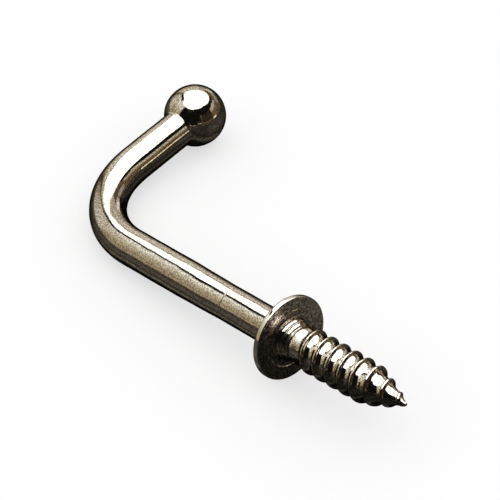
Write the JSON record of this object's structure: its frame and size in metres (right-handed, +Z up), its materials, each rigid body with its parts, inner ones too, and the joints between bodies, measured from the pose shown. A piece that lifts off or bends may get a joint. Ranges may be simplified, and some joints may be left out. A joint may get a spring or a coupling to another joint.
{
  "type": "screw hook",
  "caption": "L-shaped screw hook turned from one rod, with a ball end, a round stop flange and a right-hand wood-screw thread with a gimlet point.",
  "frame": {"origin": "centre of the flange's wall face, on the axis of the screw", "axes": "+Z up from the surface the hook lies on; +X level, along the screw towards its tip; +Y towards the ball end. Lying at rest, the screw's tip points 5.1 degrees above level."},
  "size_m": [0.0618, 0.0303, 0.01],
  "materials": {
    "plated_metal": "polished nickel plate"
  },
  "bodies": {
    "root": {"screw_hook": "plated_metal"}
  },
  "joints": []
}
